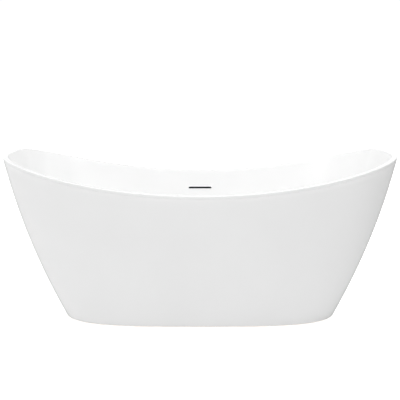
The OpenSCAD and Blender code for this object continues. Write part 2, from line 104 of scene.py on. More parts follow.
# Overflow
SLOT_L, SLOT_H = 0.113, 0.0075
TRIM_EDGE, TRIM_T = 0.003, 0.0015
SLEEVE_T, SLEEVE_L = 0.0011, 0.016
SEAT_L, SEAT_H, SEAT_DEPTH = 0.146, 0.03, 0.0095
GASKET_T = 0.0015
BOX_L, BOX_H, BOX_D, BOX_WALL = 0.136, 0.026, 0.014, 0.002
NIPPLE_Z, NIPPLE_L = -0.011, 0.022

# Waste
BRANCH_Z = 0.058
HOSE_ROUTE = (
    (0, 48, 58), (0, 80, 58), (0, 112, 58), (0, 140, 58), (0, 166, 58), (0, 190, 61),
    (0, 212, 70), (0, 233, 85), (0, 249, 107), (0, 259, 134), (0, 264, 165), (0, 270, 200),
    (0, 279, 240), (0, 290, 280), (0, 303, 325), (0, 317, 367), (0, 331, 404), (0, 343, 434),
    (0, 349, 452), (0, 350.5, 465), (0, 350.5, 477),
)
HOSE_R, HOSE_VALLEY_R, HOSE_BORE_R, HOSE_PITCH = 0.012, 0.0103, 0.0097, 0.0042

# Meshes: points round a shell, the round of a skin's edge, and the angles past which edges are sharp
ROUND = 288
EDGE = 0.0006
SHARP, SHARP_SHELL, SHARP_HOSE = 35, 50, 60

# The camera
CAMERA_BACK, CAMERA_UP = 2.83, 1.018
CAMERA_PITCH = 9.752
CAMERA_LENS, CAMERA_SENSOR = 57.15, 36
CAMERA_SHIFT = -0.0184

# The studio. The softboxes give their name, azimuth, elevation, distance, size and power
WHITE = (1, 1, 1, 1)
FLOOR_TONE, FLOOR_MIRRORED = 0.85, 0.3
FLOOR_GLOW, FLOOR_NEAR, FLOOR_FAR = 0.18, 0.75, 1.05
FLOOR_BRIGHTENS = (1, 4)
FLOOR_LOW, FLOOR_HALF = -0.0004, 40
SKY_LIGHT, SKY_SHOWN = 0.25, 1.05
LIGHTS_AIM = 0.45
SOFTBOXES = (
    ("top", 0, 90, 3.2, (4, 2.6), 20),
    ("front", 0, 40, 4, (4.5, 2.2), 32),
    ("front_high", 0, 62, 3.6, (3.6, 1.6), 60),
    ("left", 270, 30, 4.2, (3, 3), 8),
    ("left_low", 270, 10, 4.2, (3, 1.6), 35),
    ("right_high", 90, 62, 3.6, (2.4, 2.4), 20),
    ("back", 180, 15, 4.5, (6, 2.2), 28),
    ("back_left", 225, 25, 4.2, (4, 3), 10),
    ("back_left_low", 235, 8, 4.5, (2.4, 1.4), 20),
    ("back_right", 125, 25, 4.2, (5.4, 4), 28),
    ("under", 0, -90, 0.75, (0.8, 0.28), 2.4),
)


# ---- Curves of the shells ----

def around(steps):
    return np.linspace(0, 2 * pi, steps, endpoint=False)


AROUND = around(ROUND)


def circle(steps):
    return np.stack([np.cos(around(steps)), np.sin(around(steps))], -1)


def unit(v):
    return v / np.linalg.norm(v, axis=-1, keepdims=True)


def lifted(plan, z):
    """Plan points at a height, which is one number or one for each point."""
    return np.concatenate([plan, np.broadcast_to(z, plan.shape[:-1])[..., None]], -1)


def rounded(u, a, b, n):
    """Points of a rounded rectangle: half length a, half width b, exponent n."""
    c, s = np.cos(u), np.sin(u)
    k = (np.abs(c) ** n + np.abs(s) ** n) ** (-1 / n)
    return np.stack([a * c * k, b * s * k], -1)


def rim_plan(u):
    return rounded(u, TUB_L / 2, TUB_W / 2, RIM_N)


def rim_z(u):
    return MID_H + (END_H - MID_H) * (rim_plan(u)[..., 0] / (TUB_L / 2)) ** 2


def rim_out(u):
    """The outward direction square to the rim's outline."""
    p = rim_plan(u)
    x, y = p[..., 0], p[..., 1]
    nx = np.sign(x) * (np.abs(x) / (TUB_L / 2)) ** (RIM_N - 1) / TUB_L
    ny = np.sign(y) * (np.abs(y) / (TUB_W / 2)) ** (RIM_N - 1) / TUB_W
    return lifted(unit(np.stack([nx, ny], -1)), 0)


def skirt_face(u, z):
    """The outer face at height z, which is widest where the rim starts to roll over."""
    foot = rounded(u, FOOT_L / 2, FOOT_W / 2, FOOT_N)
    s = np.minimum(1, z / (rim_z(u) - LIP_R_OUT))[..., None]
    return lifted(foot + (rim_plan(u) - foot) * (s + SKIRT_BOW * s * (1 - s)), z)


def lip(u, d, h):
    """A point of the rolled rim: d inwards from the outer face, h below its top."""
    return skirt_face(u, rim_z(u) - h) - d * rim_out(u)


def lip_outer(u, turn, inset=0):
    r = LIP_R_OUT - inset
    return lip(u, LIP_R_OUT - r * cos(turn), LIP_R_OUT - r * sin(turn))


def lip_inner(u, turn, inset=0):
    r = LIP_R_IN - inset
    d = LIP_W - LIP_R_IN + r * cos(turn)
    return lifted(rim_plan(u), rim_z(u) - LIP_R_IN + r * sin(turn)) - d * rim_out(u)


def wall_poles(u):
    start = lip_inner(u, LIP_END)
    corner = lifted(rounded(u, CORNER_L / 2, CORNER_W / 2, CORNER_N), FLOOR_Z)
    flat = lifted(rounded(u, FLAT_L / 2, FLAT_W / 2, FLAT_N), FLOOR_Z)
    return start, start + WALL_PULL * (corner - start), corner, flat


def wall(u, t):
    """The basin's inner wall: straight down from the rim, then a fillet to the floor."""
    a, b, c, d = wall_poles(u)
    s = 1 - t
    return s * s * s * a + 3 * s * s * t * b + 3 * s * t * t * c + t * t * t * d


def wall_slope(u, t):
    a, b, c, d = wall_poles(u)
    s = 1 - t
    return s * s * (b - a) + 2 * s * t * (c - b) + t * t * (d - c)


def wall_behind(u, t, depth):
    """A point behind the inner wall, square to it."""
    step = radians(0.5)
    along = wall(u + step, t) - wall(u - step, t)
    return wall(u, t) + depth * unit(np.cross(wall_slope(u, t), along))


def wall_back(u, t):
    return wall_behind(u, t, BASIN_T + (FLOOR_Z - UNDER_Z - BASIN_T) * t ** 6)


def ring_at(z, r, steps=ROUND):
    return lifted(r * circle(steps), z)


def fall_to_drain(q):
    """The floor's rings, from the flat's edge at q = 1 down to the ring round the drain at q = 0."""
    flat = rounded(AROUND, FLAT_L / 2, FLAT_W / 2, FLAT_N)
    ring = DRAIN_RING_R * circle(ROUND)
    ease = q * q * (3 - 2 * q)
    return lifted(ring + (flat - ring) * q, DRAIN_Z + (FLOOR_Z - DRAIN_Z) * ease)


# ---- Mesh helpers ----

def shell(rings, looped=True):
    """A closed surface through a stack of rings: looped back to the first, or with flat ends."""
    n, m = len(rings[0]), len(rings)
    faces = []
    for i in range(m if looped else m - 1):
        j = (i + 1) % m
        for k in range(n):
            e = (k + 1) % n
            faces.append((i * n + k, i * n + e, j * n + e, j * n + k))
    if not looped:
        faces.append(tuple(range(n)))
        faces.append(tuple((m - 1) * n + k for k in range(n)))
    return np.concatenate(rings), faces


def moved(part, matrix):
    m = np.array(matrix)
    return part[0] @ m[:3, :3].T + m[:3, 3], part[1]


def at(x=0, y=0, z=0):
    return Matrix.Translation((x, y, z))


def rotated(degrees, axis="Z"):
    return Matrix.Rotation(radians(degrees), 4, axis)


def mm(*points):
    """Points given in millimetres, in metres."""
    return [tuple(value / 1000 for value in point) for point in points]


def show(name, data):
    obj = bpy.data.objects.new(name, data)
    scene.collection.objects.link(obj)
    return obj


def make(name, parts, material, sharp=SHARP):
    """One mesh object from several closed parts, smooth except at its sharp edges."""
    verts, faces, base = [], [], 0
    for v, f in parts:
        verts.append(v)
        faces += [tuple(base + i for i in face) for face in f]
        base += len(v)
    mesh = bpy.data.meshes.new(name)
    mesh.from_pydata(np.concatenate(verts).tolist(), [], faces)
    bm = bmesh.new()
    bm.from_mesh(mesh)
    bmesh.ops.remove_doubles(bm, verts=bm.verts, dist=1e-7)
    bmesh.ops.dissolve_degenerate(bm, edges=bm.edges, dist=1e-7)
    bmesh.ops.recalc_face_normals(bm, faces=bm.faces)
    bm.to_mesh(mesh)
    bm.free()
    mesh.shade_smooth()
    mesh.set_sharp_from_angle(angle=radians(sharp))
    mesh.materials.append(material)
    return show(name, mesh)


def cut(obj, *tools):
    """Takes closed parts away from an object."""
    cutter = make(obj.name + "_cutter", tools, obj.data.materials[0])
    change = obj.modifiers.new("cut", "BOOLEAN")
    change.operation = "DIFFERENCE"
    change.solver = "EXACT"
    change.use_self = True
    change.object = cutter
    graph = bpy.context.evaluated_depsgraph_get()
    mesh = bpy.data.meshes.new_from_object(obj.evaluated_get(graph))
    obj.modifiers.clear()
    obj.data = mesh
    mesh.set_sharp_from_angle(angle=radians(SHARP))
    bpy.data.objects.remove(cutter)


def stands_for(obj, body, node):
    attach(obj, body)
    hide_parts(node)


def piece(name, parts, slot, node, body="root", look=None, sharp=SHARP, holes=()):
    """A visible piece from closed parts, with holes cut in it. It stands for a CAD node."""
    obj = make(name, parts, looks[look or slot], sharp)
    if holes:
        cut(obj, *holes)
    stands_for(obj, body, node)


def soften(points, steps=4):
    """Rounds the corners of a closed outline. Each point is x, y and the corner's radius."""
    out = []
    for i, (x, y, r) in enumerate(points):
        if not r:
            out.append((x, y))
            continue
        p = Vector((x, y))
        back = Vector(points[i - 1][:2]) - p
        ahead = Vector(points[(i + 1) % len(points)][:2]) - p
        reach = r / tan(back.angle(ahead) / 2)
        reach = min(reach, back.length * 0.49, ahead.length * 0.49)
        start, end = p + back.normalized() * reach, p + ahead.normalized() * reach
        for k in range(steps + 1):
            t = k / steps
            q = (1 - t) ** 2 * start + 2 * t * (1 - t) * p + t * t * end
            out.append((q.x, q.y))
    return out


def lathe(outline, steps=64):
    """A turned part from a closed outline of radius and height."""
    return shell([ring_at(z, r, steps) for r, z in outline])


def turned(steps, ease, *points):
    """A turned part from points of radius, height and rounding in millimetres."""
    return lathe(soften(mm(*points), ease), steps)


def rod(r, low, high, steps=32):
    return shell([ring_at(low, r, steps), ring_at(high, r, steps)], looped=False)


def around_corners(x, y, radius, steps):
    """An outline that turns round four centres, at plus and minus x and y."""
    out = []
    for sx, sy, start in ((1, 1, 0), (-1, 1, 90), (-1, -1, 180), (1, -1, 270)):
        for j in range(steps + 1):
            a = radians(start + 90 * j / steps)
            out.append((sx * x + radius * cos(a), sy * y + radius * sin(a)))
    return np.array(out)


def rounded_box(size, radius, steps=3):
    """A box centred on the origin with all its edges rounded."""
    x, y, z = (s / 2 - radius for s in size)
    rings = []
    for k in range(2 * steps + 2):
        side = -1 if k <= steps else 1
        a = pi / 2 * ((k if k <= steps else k - 1) / steps - 1)
        outline = around_corners(x, y, radius * cos(a), steps)
        rings.append(lifted(outline, side * z + radius * sin(a)))
    return shell(rings, looped=False)


def rounded_square(half_x, half_y, radius, steps=4):
    """The outline of a rectangle with round corners, in plan."""
    return around_corners(half_x - radius, half_y - radius, radius, steps)


def smooth_path(points, step):
    """Evenly spaced points on the curve through the given ones."""
    p = np.array(points, float)
    p = np.concatenate([[2 * p[0] - p[1]], p, [2 * p[-1] - p[-2]]])
    fine = []
    for i in range(1, len(p) - 2):
        for t in np.linspace(0, 1, 24, endpoint=False):
            a, b, c, d = p[i - 1], p[i], p[i + 1], p[i + 2]
            fine.append(0.5 * (2 * b + (c - a) * t + (2 * a - 5 * b + 4 * c - d) * t * t
                               + (3 * b - a - 3 * c + d) * t ** 3))
    fine = np.array(fine + [p[-2]])
    run = np.concatenate([[0], np.cumsum(np.linalg.norm(np.diff(fine, axis=0), axis=1))])
    at_run = np.linspace(0, run[-1], max(2, int(round(run[-1] / step)) + 1))
    return np.stack([np.interp(at_run, run, fine[:, k]) for k in range(3)], -1)


def sweep(path, radii, sides=16):
    """Rings of a round section along a path, with one radius for each point."""
    path = np.array(path, float)
    ahead = unit(np.gradient(path, axis=0))
    side = np.cross(ahead[0], (0, 0, 1))
    if np.linalg.norm(side) < 0.1:
        side = np.cross(ahead[0], (1, 0, 0))
    rings = []
    a = around(sides)[:, None]
    for p, h, r in zip(path, ahead, radii):
        side = unit(side - np.dot(side, h) * h)
        up = np.cross(h, side)
        rings.append(p + r * (np.cos(a) * side + np.sin(a) * up))
    return rings


def thread(r, depth, pitch, low, high, steps=24, bore=0):
    """A right-handed screw thread from low to high, run out at its ends, on a solid or bored core."""
    turns = ceil((high - low) / pitch) + 2
    profile = ((0, -1), (0.4, 0), (0.52, 0), (0.92, -1))
    count = turns * steps
    verts = []
    for i in range(count + 1):
        a = 2 * pi * i / steps
        for share, drop in profile:
            z = low + pitch * (i / steps - 1 + share)
            near = max(0, min(z - low, high - z))
            rad = min(r + drop * depth, r - depth + near)
            z = min(high, max(low, z))
            verts.append((rad * cos(a), rad * sin(a), z))
    faces = []
    n = len(profile)
    for i in range(count):
        for j in range(n - 1):
            faces.append((i * n + j, (i + 1) * n + j, (i + 1) * n + j + 1, i * n + j + 1))
        up = i + steps
        if up + 1 <= count:
            faces.append((i * n + n - 1, (i + 1) * n + n - 1, (up + 1) * n, up * n))
    ahead = [(k, (k + 1) % steps) for k in range(steps)]
    inner = []
    for z, first in ((low, 0), (high, (count - steps) * n + n - 1)):
        c = len(verts)
        verts += [(bore * x, bore * y, z) for x, y in circle(steps)]
        faces += [(first + k * n, first + (k + 1) * n, c + e, c + k) for k, e in ahead]
        inner.append(c)
    if bore:
        faces += [(inner[0] + k, inner[0] + e, inner[1] + e, inner[1] + k) for k, e in ahead]
    return np.array(verts), faces


def hex_nut(corner, bore, low, height, steps=72):
    """A hexagonal nut with turned chamfers on both faces."""
    across = corner * cos(pi / 6)
    outline = across / np.cos(np.mod(around(steps), pi / 3) - pi / 6)
    face_r, rise = across * 0.96, tan(radians(30))
    drops = np.linspace(0, (corner - face_r) * rise, 5)
    top, edge = low + height, bore * 0.06
    chamfer = [(circle(steps) * np.minimum(outline, face_r + d / rise)[:, None], d) for d in drops]
    rings = [ring_at(low + edge, bore, steps), ring_at(low, bore + edge, steps)]
    rings += [lifted(plan, low + d) for plan, d in chamfer]
    rings += [lifted(plan, top - d) for plan, d in chamfer[::-1]]
    return shell(rings + [ring_at(top, bore + edge, steps), ring_at(top - edge, bore, steps)])


# ---- Materials ----

def blank(data):
    """The empty node tree of a new material or world."""
    data.use_nodes = True
    data.node_tree.nodes.clear()
    return data.node_tree


def new_material(name):
    material = bpy.data.materials.new(name)
    return material, blank(material)


def add(tree, kind, inputs=(), **settings):
    """A shader node with its settings, and its inputs as values or other nodes' outputs."""
    node = tree.nodes.new("ShaderNode" + kind)
    for key, value in settings.items():
        setattr(node, key, value)
    for key, value in dict(inputs).items():
        if isinstance(value, bpy.types.NodeSocket):
            tree.links.new(value, node.inputs[key])
        else:
            node.inputs[key].default_value = value
    return node


def place_of(tree, scale=(1, 1, 1), turn=(0, 0, 0)):
    """The object's own coordinates, turned and then stretched along the turned axes."""
    where = add(tree, "TexCoord").outputs["Object"]
    if any(turn):
        where = add(tree, "Mapping", {"Vector": where, "Rotation": turn}).outputs["Vector"]
    return add(tree, "Mapping", {"Vector": where, "Scale": scale}).outputs["Vector"]


def noise(tree, place, scale, detail=3, rough=0.5, distortion=0):
    return add(tree, "TexNoise", {"Vector": place, "Scale": scale, "Detail": detail,
                                  "Roughness": rough, "Distortion": distortion}).outputs["Fac"]


def cells(tree, place, scale):
    return add(tree, "TexVoronoi", {"Vector": place, "Scale": scale}).outputs["Distance"]


def ramp(tree, value, *stops):
    """A colour ramp through position and colour stops."""
    node = add(tree, "ValToRGB", {"Fac": value})
    stripe = node.color_ramp
    while len(stripe.elements) < len(stops):
        stripe.elements.new(0.5)
    for element, (position, colour) in zip(stripe.elements, stops):
        element.position = position
        element.color = (*colour, 1)
    return node.outputs["Color"]


def spread(tree, value, low, high, start=0, end=1):
    """A value that runs from low to high while the given one runs from start to end."""
    return add(tree, "MapRange", {"Value": value, "From Min": start, "From Max": end,
                                  "To Min": low, "To Max": high}).outputs["Result"]


def mixed(tree, factor, a, b):
    return add(tree, "Mix", {0: factor, 6: a, 7: b}, data_type="RGBA").outputs[2]


def maths(tree, operation, a, b=0):
    return add(tree, "Math", {0: a, 1: b}, operation=operation).outputs[0]


def z_of(tree, vector):
    return add(tree, "SeparateXYZ", {"Vector": vector}).outputs["Z"]


def finished(material, colour, rough, height, distance, strength=1, **own):
    """A material whose surface has a colour, a roughness, a bump and settings of its own."""
    tree = material.node_tree
    bump = add(tree, "Bump", {"Height": height, "Distance": distance, "Strength": strength})
    inputs = {"Base Color": colour, "Roughness": rough, "Normal": bump.outputs["Normal"], **own}
    surface = add(tree, "BsdfPrincipled", inputs)
    add(tree, "OutputMaterial", {"Surface": surface.outputs["BSDF"]})
    return material


def white_acrylic():
    """Polished acrylic: nearly even white, with a faint ripple and wiping marks in its gloss."""
    material, tree = new_material("polished_acrylic")
    place = place_of(tree)
    cloud = noise(tree, place, 3, 2)
    colour = ramp(tree, cloud, (0.3, (0.884, 0.885, 0.884)), (0.7, (0.904, 0.905, 0.904)))
    wiped = noise(tree, place_of(tree, (6, 60, 14), (0.3, 0.2, 0.5)), 4, 6, 0.6)
    ripple = noise(tree, place, 28, 1)
    return finished(material, colour, spread(tree, wiped, 0.2, 0.27, 0.3, 0.7), ripple, 0.0004, 0.25,
                    IOR=1.49)


def fibreglass():
    """Chopped strand mat: short strands laid every way under uneven, glossy resin."""
    material, tree = new_material("glass_strand_mat")
    place = place_of(tree)
    strands = None
    for turn in ((0, 0, 0), (1.57, 0.3, 0), (0.8, 0, 0.7), (-0.8, 0.5, 0.2), (0.4, 1.2, 0),
                 (0.3, -1, 0.9), (1.2, 0.9, -0.6)):
        streak = noise(tree, place_of(tree, (330, 330, 16), turn), 1, 1, 0.4, 0.15)
        streak = spread(tree, streak, 0, 1, 0.6, 0.72)
        strands = streak if strands is None else maths(tree, "MAXIMUM", strands, streak)
    resin = ramp(tree, noise(tree, place, 9, 4), (0.3, (0.46, 0.45, 0.34)), (0.7, (0.6, 0.58, 0.47)))
    colour = mixed(tree, spread(tree, strands, 0, 0.55), resin, (0.78, 0.78, 0.71, 1))
    pools = noise(tree, place, 26, 3)
    height = maths(tree, "ADD", maths(tree, "MULTIPLY", strands, 0.3), pools)
    return finished(material, colour, spread(tree, pools, 0.22, 0.5, 0.35, 0.65), height, 0.0016, 0.6)


def bonding_resin():
    """Squeezed-out adhesive: lumpy, with small voids and a slight sheen."""
    material, tree = new_material("adhesive")
    place = place_of(tree)
    lumps = noise(tree, place, 60, 4, 0.55, 0.6)
    colour = ramp(tree, lumps, (0.3, (0.55, 0.5, 0.38)), (0.7, (0.74, 0.69, 0.56)))
    pits = spread(tree, cells(tree, place, 140), 0, 1, 0.08, 0.22)
    height = maths(tree, "MULTIPLY", maths(tree, "ADD", lumps, 0.4), pits)
    return finished(material, colour, spread(tree, lumps, 0.38, 0.6), height, 0.0015)


def plywood():
    """Birch plywood: long grain on its faces, and light and dark plies on its edges."""
    ply_turns = 2094  # radians a metre: a light and a dark ply to every 3 mm
    material, tree = new_material("birch_plywood")
    grain = noise(tree, place_of(tree, (5, 60, 60)), 1.6, 6, 0.62, 1.2)
    face = ramp(tree, grain, (0.25, (0.5, 0.33, 0.17)), (0.5, (0.66, 0.47, 0.27)),
                (0.78, (0.74, 0.57, 0.36)))
    pores = noise(tree, place_of(tree, (40, 900, 900)), 1, 2)
    face = mixed(tree, spread(tree, pores, 0, 0.35, 0.6, 0.75), face, (0.3, 0.18, 0.09, 1))
    level = z_of(tree, add(tree, "TexCoord").outputs["Object"])
    wander = maths(tree, "MULTIPLY", noise(tree, place_of(tree), 22), 0.0005)
    turns = maths(tree, "MULTIPLY", maths(tree, "ADD", level, wander), ply_turns)
    layers = spread(tree, maths(tree, "SINE", turns), 0, 1, -1, 1)
    plies = ramp(tree, layers, (0.42, (0.32, 0.19, 0.1)), (0.58, (0.7, 0.52, 0.31)))
    plies = mixed(tree, 0.35, plies, face)
    facing = z_of(tree, add(tree, "NewGeometry").outputs["Normal"])
    flat = spread(tree, maths(tree, "ABSOLUTE", facing), 0, 1, 0.6, 0.8)
    return finished(material, mixed(tree, flat, plies, face), spread(tree, grain, 0.58, 0.78),
                    maths(tree, "ADD", grain, pores), 0.0004, 0.5)


def frame_steel():
    """Black powder coat: a fine pebbled skin with a soft sheen."""
    material, tree = new_material("black_powder_coat")
    place = place_of(tree)
    cloud = noise(tree, place, 14, 3)
    colour = ramp(tree, cloud, (0.3, (0.022, 0.022, 0.024)), (0.7, (0.036, 0.036, 0.039)))
    pebble = noise(tree, place, 900, 2)
    return finished(material, colour, spread(tree, pebble, 0.36, 0.54), pebble, 0.0002, 0.7)


def black_plastic():
    """Moulded nylon: near black, finely spark-eroded."""
    material, tree = new_material("moulded_nylon")
    place = place_of(tree)
    cloud = noise(tree, place, 40)
    colour = ramp(tree, cloud, (0.3, (0.013, 0.013, 0.014)), (0.7, (0.024, 0.024, 0.025)))
    return finished(material, colour, spread(tree, cloud, 0.42, 0.58), cells(tree, place, 1300),
                    0.00015, 0.6)


def metal(name, dull, bright, rough, scratch, depth):
    """A metal with a mottled colour, uneven gloss and fine scratches along one way."""
    material, tree = new_material(name)
    colour = ramp(tree, noise(tree, place_of(tree), 45, 4), (0.32, dull), (0.68, bright))
    marks = noise(tree, place_of(tree, scratch), 1, 4, 0.6)
    return finished(material, colour, spread(tree, marks, *rough, 0.3, 0.7), marks, depth, 0.5,
                    Metallic=1)


def rubber():
    """Black rubber: matte, a little dusty."""
    material, tree = new_material("soft_rubber")
    place = place_of(tree)
    dust = noise(tree, place, 70, 5, 0.6)
    colour = ramp(tree, dust, (0.35, (0.012, 0.012, 0.012)), (0.8, (0.045, 0.044, 0.042)))
    return finished(material, colour, spread(tree, dust, 0.62, 0.86), noise(tree, place, 1400, 2),
                    0.0001, 0.5)


def moulded(name, dark, light, rough, grain):
    """A moulded plastic with slight flow marks."""
    material, tree = new_material(name)
    flow = noise(tree, place_of(tree, (1, 1, 3)), 22, 3, 0.5, 0.8)
    colour = ramp(tree, flow, (0.3, dark), (0.7, light))
    return finished(material, colour, spread(tree, flow, *rough), noise(tree, place_of(tree), grain, 2),
                    0.0001, 0.4)


looks = {look.__name__: look() for look in (
    white_acrylic, fibreglass, bonding_resin, plywood, frame_steel, black_plastic, rubber)}
looks.update({
    "zinc_steel": metal("zinc_plating", (0.5, 0.51, 0.53), (0.66, 0.67, 0.66), (0.26, 0.44),
                        (160, 160, 900), 0.00004),
    "spring_steel": metal("spring_wire", (0.42, 0.42, 0.43), (0.56, 0.56, 0.57), (0.18, 0.3),
                          (500, 500, 60), 0.00002),
    "chrome": metal("chrome_plating", (0.8, 0.81, 0.82), (0.88, 0.88, 0.89), (0.03, 0.09),
                    (90, 260, 90), 0.000004),
    "brass": metal("turned_brass", (0.58, 0.4, 0.17), (0.75, 0.55, 0.26), (0.22, 0.38),
                   (60, 60, 1600), 0.00003),
    "white_plastic": moulded("white_moulding", (0.74, 0.74, 0.71), (0.8, 0.8, 0.77), (0.28, 0.42), 900),
    "hose_plastic": moulded("grey_moulding", (0.4, 0.41, 0.42), (0.5, 0.51, 0.52), (0.42, 0.58), 700),
})


# ---- Shells ----

def overflow_place():
    """The overflow's own frame: X along the wall, +Y into it, +Z up along it."""
    top = np.array([pi / 2])
    p, slope = wall(top, OVERFLOW_T)[0], wall_slope(top, OVERFLOW_T)[0]
    lean = atan2(-slope[1], -slope[2])
    return at(*p) @ Matrix.Rotation(-lean, 4, "X")


def slot_ring(grow, depth, steps=20):
    """The overflow slot's outline, grown by a margin, at a depth into the wall."""
    r, half = SLOT_H / 2 + grow, (SLOT_L - SLOT_H) / 2
    out = []
    for side, start in ((1, -90), (-1, 90)):
        for k in range(steps + 1):
            a = radians(start + 180 * k / steps)
            out.append((side * half + r * cos(a), depth, r * sin(a)))
    return np.array(out)


def slot_cutter(grow, front, back):
    return moved(shell([slot_ring(grow, front), slot_ring(grow, back)], looped=False), overflow_place())


def sleeve_hole():
    """The hole that the overflow's sleeve needs through the basin's wall."""
    return slot_cutter(SLEEVE_T + PLAY, -0.004, SLEEVE_L)


def turned_rings(*points):
    """Rings round the drain from radius and height in millimetres."""
    return [ring_at(z, r) for r, z in mm(*points)]


def lip_over(inset, steps):
    """The rolled rim's rings, from the top of the inner wall over to the outer face."""
    turns = np.linspace(LIP_END, pi / 2, steps)
    rings = [lip_inner(AROUND, t, inset) for t in turns]
    first, last = rings[-1], lip_outer(AROUND, pi / 2, inset)
    rings += [first + (last - first) * q for q in (0.33, 0.67)]
    return rings + [lip_outer(AROUND, t, inset) for t in np.linspace(pi / 2, 0, steps + 1)]


def basin_behind(depth):
    """Rings at a depth under the basin's surface, from the rim's outer face down to the floor."""
    wall_steps = np.linspace(0.05, 1, 12)
    return lip_over(depth, 4)[::-1] + [wall_behind(AROUND, t, depth) for t in wall_steps]


def basin_skin():
    """The acrylic sheet: drain seat, floor, walls, rolled rim, and its hidden back."""
    floor_steps, wall_steps = np.linspace(0, 1, 11), np.linspace(1, 0, 37)
    rings = turned_rings(
        (25, 122.5), (25, 125.6), (25.4, 126), (35.2, 126), (36.4, 126.4), (37, 127.3),
        (37, 128.4), (37.3, 129.4), (38.2, 129.9), (40, 130), (50, 130))
    rings += [fall_to_drain(q) for q in floor_steps[:-1]]
    rings += [wall(AROUND, t) for t in wall_steps[:-1]]
    rings += lip_over(0, 8)
    rings += [lip(AROUND, d, h) for d, h in (
        (0, LIP_STRAIGHT), (0, LIP_H - EDGE), (0.3 * EDGE, LIP_H - 0.3 * EDGE), (EDGE, LIP_H),
        (BASIN_SKIN, LIP_H))]
    rings += basin_behind(BASIN_SKIN) + turned_rings((60, 126.5), (44, 126), (41, 122.5))
    piece("basin_skin", [shell(rings)], "white_acrylic", "basin", sharp=SHARP_SHELL,
          holes=[sleeve_hole(), slot_cutter(TRIM_EDGE + PLAY, -0.004, 0)])


def basin_backing():
    """The sprayed glass-fibre layer behind the acrylic, and the flat pad behind the overflow."""
    gap = BASIN_SKIN + LAYER_GAP
    rings = turned_rings((25.2, 122.4), (25.2, 122.2), (25.6, 122), (60, 122))
    rings += [wall_back(AROUND, t) for t in np.linspace(1, 0.02, 26)]
    rings += [lip(AROUND, d, LIP_H) for d in (SKIRT_T, gap)] + basin_behind(gap)
    rings += turned_rings((60, 126.4), (44.5, 125.9), (41.5, 122.4))
    seat = moved(rounded_box((SEAT_L, SEAT_DEPTH - 0.004, SEAT_H), 0.0015),
                 overflow_place() @ at(0, (SEAT_DEPTH + 0.004) / 2, 0))
    for name, part in (("basin_backing", shell(rings)), ("overflow_pad", seat)):
        piece(name, [part], "white_acrylic", "basin", look="fibreglass", holes=[sleeve_hole()])


def skirt_at(z, inwards):
    return skirt_face(AROUND, z) - inwards * rim_out(AROUND)


def skirt_ring(share, inwards, rise=0):
    """A ring of the skirt at a share of its height, some way inwards from its outer face."""
    return skirt_at(FLOOR_GAP + (rim_z(AROUND) - LIP_H - FLOOR_GAP) * share + rise, inwards)


def skirt_skin():
    """The skirt's acrylic face, with small rounds at its edges."""
    bottom = (SKIRT_SKIN, 0), (3 * EDGE, 0), (EDGE, 0.3 * EDGE), (0, 3 * EDGE)
    top = (0, -EDGE), (0.3 * EDGE, -0.3 * EDGE), (EDGE, 0), (SKIRT_SKIN, 0)
    rings = [skirt_ring(0, inwards, rise) for inwards, rise in bottom]
    rings += [skirt_ring(s, 0) for s in np.linspace(0, 1, 31)[1:-1]]
    rings += [skirt_ring(1, inwards, rise) for inwards, rise in top]
    rings += [skirt_ring(s, SKIRT_SKIN) for s in np.linspace(1, 0, 9)[1:-1]]
    piece("skirt_skin", [shell(rings)], "white_acrylic", "skirt", sharp=SHARP_SHELL)


def skirt_backing():
    rings = [skirt_ring(s, SKIRT_SKIN + LAYER_GAP) for s in np.linspace(0, 1, 9)]
    rings += [skirt_ring(s, SKIRT_T) for s in np.linspace(1, 0, 17)]
    piece("skirt_backing", [shell(rings)], "white_acrylic", "skirt", look="fibreglass")


def rim_bond():
    """The adhesive fillet under the rim, with an uneven squeezed-out face."""
    least, most = 0.0008, 0.0022
    out = rim_out(AROUND)
    wave = 0.5 + 0.25 * np.sin(37 * AROUND) + 0.25 * np.sin(23 * AROUND + 1.3 * np.sin(9 * AROUND))
    foot = skirt_at(rim_z(AROUND) - (LIP_H + BOND_H), SKIRT_T + PLAY)
    top, low = wall_back(AROUND, 0.02), wall_back(AROUND, 0.12)
    back = top * (1 - BOND_SHARE) + low * BOND_SHARE + PLAY * out
    rings = [lip(AROUND, SKIRT_T + PLAY, LIP_H + PLAY), top + PLAY * out - (0, 0, PLAY), back]
    for q in np.linspace(0, 1, 7)[1:-1]:
        hollow = (4 * q * (1 - q) * (least + most * wave))[:, None]
        rings.append(back + (foot - back) * q + hollow * (0, 0, 1))
    piece("rim_bond_fillet", [shell(rings + [foot])], "bonding_resin", "rim_bond")


def skirt_strip():
    """The plywood strip inside the skirt's foot, with eased edges."""
    low, high, near, far, ease = FLOOR_GAP, FLOOR_GAP + STRIP_H, SKIRT_T + PLAY, SKIRT_T + STRIP_T, 0.001
    rings = [skirt_at(z, inwards) for z, inwards in (
        (low + ease, near), (low, near + ease), (low, far - ease), (low + ease, far), (high - ease, far),
        (high, far - ease), (high, near))]
    piece("skirt_strip_ply", [shell(rings)], "plywood", "skirt_strip")


# ---- Board and frame ----

def floor_board():
    """The plywood board, with eased edges and a round hole for the waste."""
    ease, top, low, hole = 0.001, BOARD_Z + BOARD_T, BOARD_Z, BOARD_HOLE_R
    outline = rounded_square(BOARD_L / 2, BOARD_W / 2, BOARD_R, 24)
    inner = rounded_square(BOARD_L / 2 - ease, BOARD_W / 2 - ease, BOARD_R - ease, 24)
    rings = [lifted(inner, low), lifted(outline, low + ease), lifted(outline, top - ease),
             lifted(inner, top)]
    drill = lathe([(0, low - ease), (hole + 2 * ease, low - ease), (hole, low + ease),
                   (hole, top - ease), (hole + 2 * ease, top + ease), (0, top + ease)], 96)
    piece("floor_board_ply", [shell(rings, looped=False)], "plywood", "floor_board", holes=[drill])


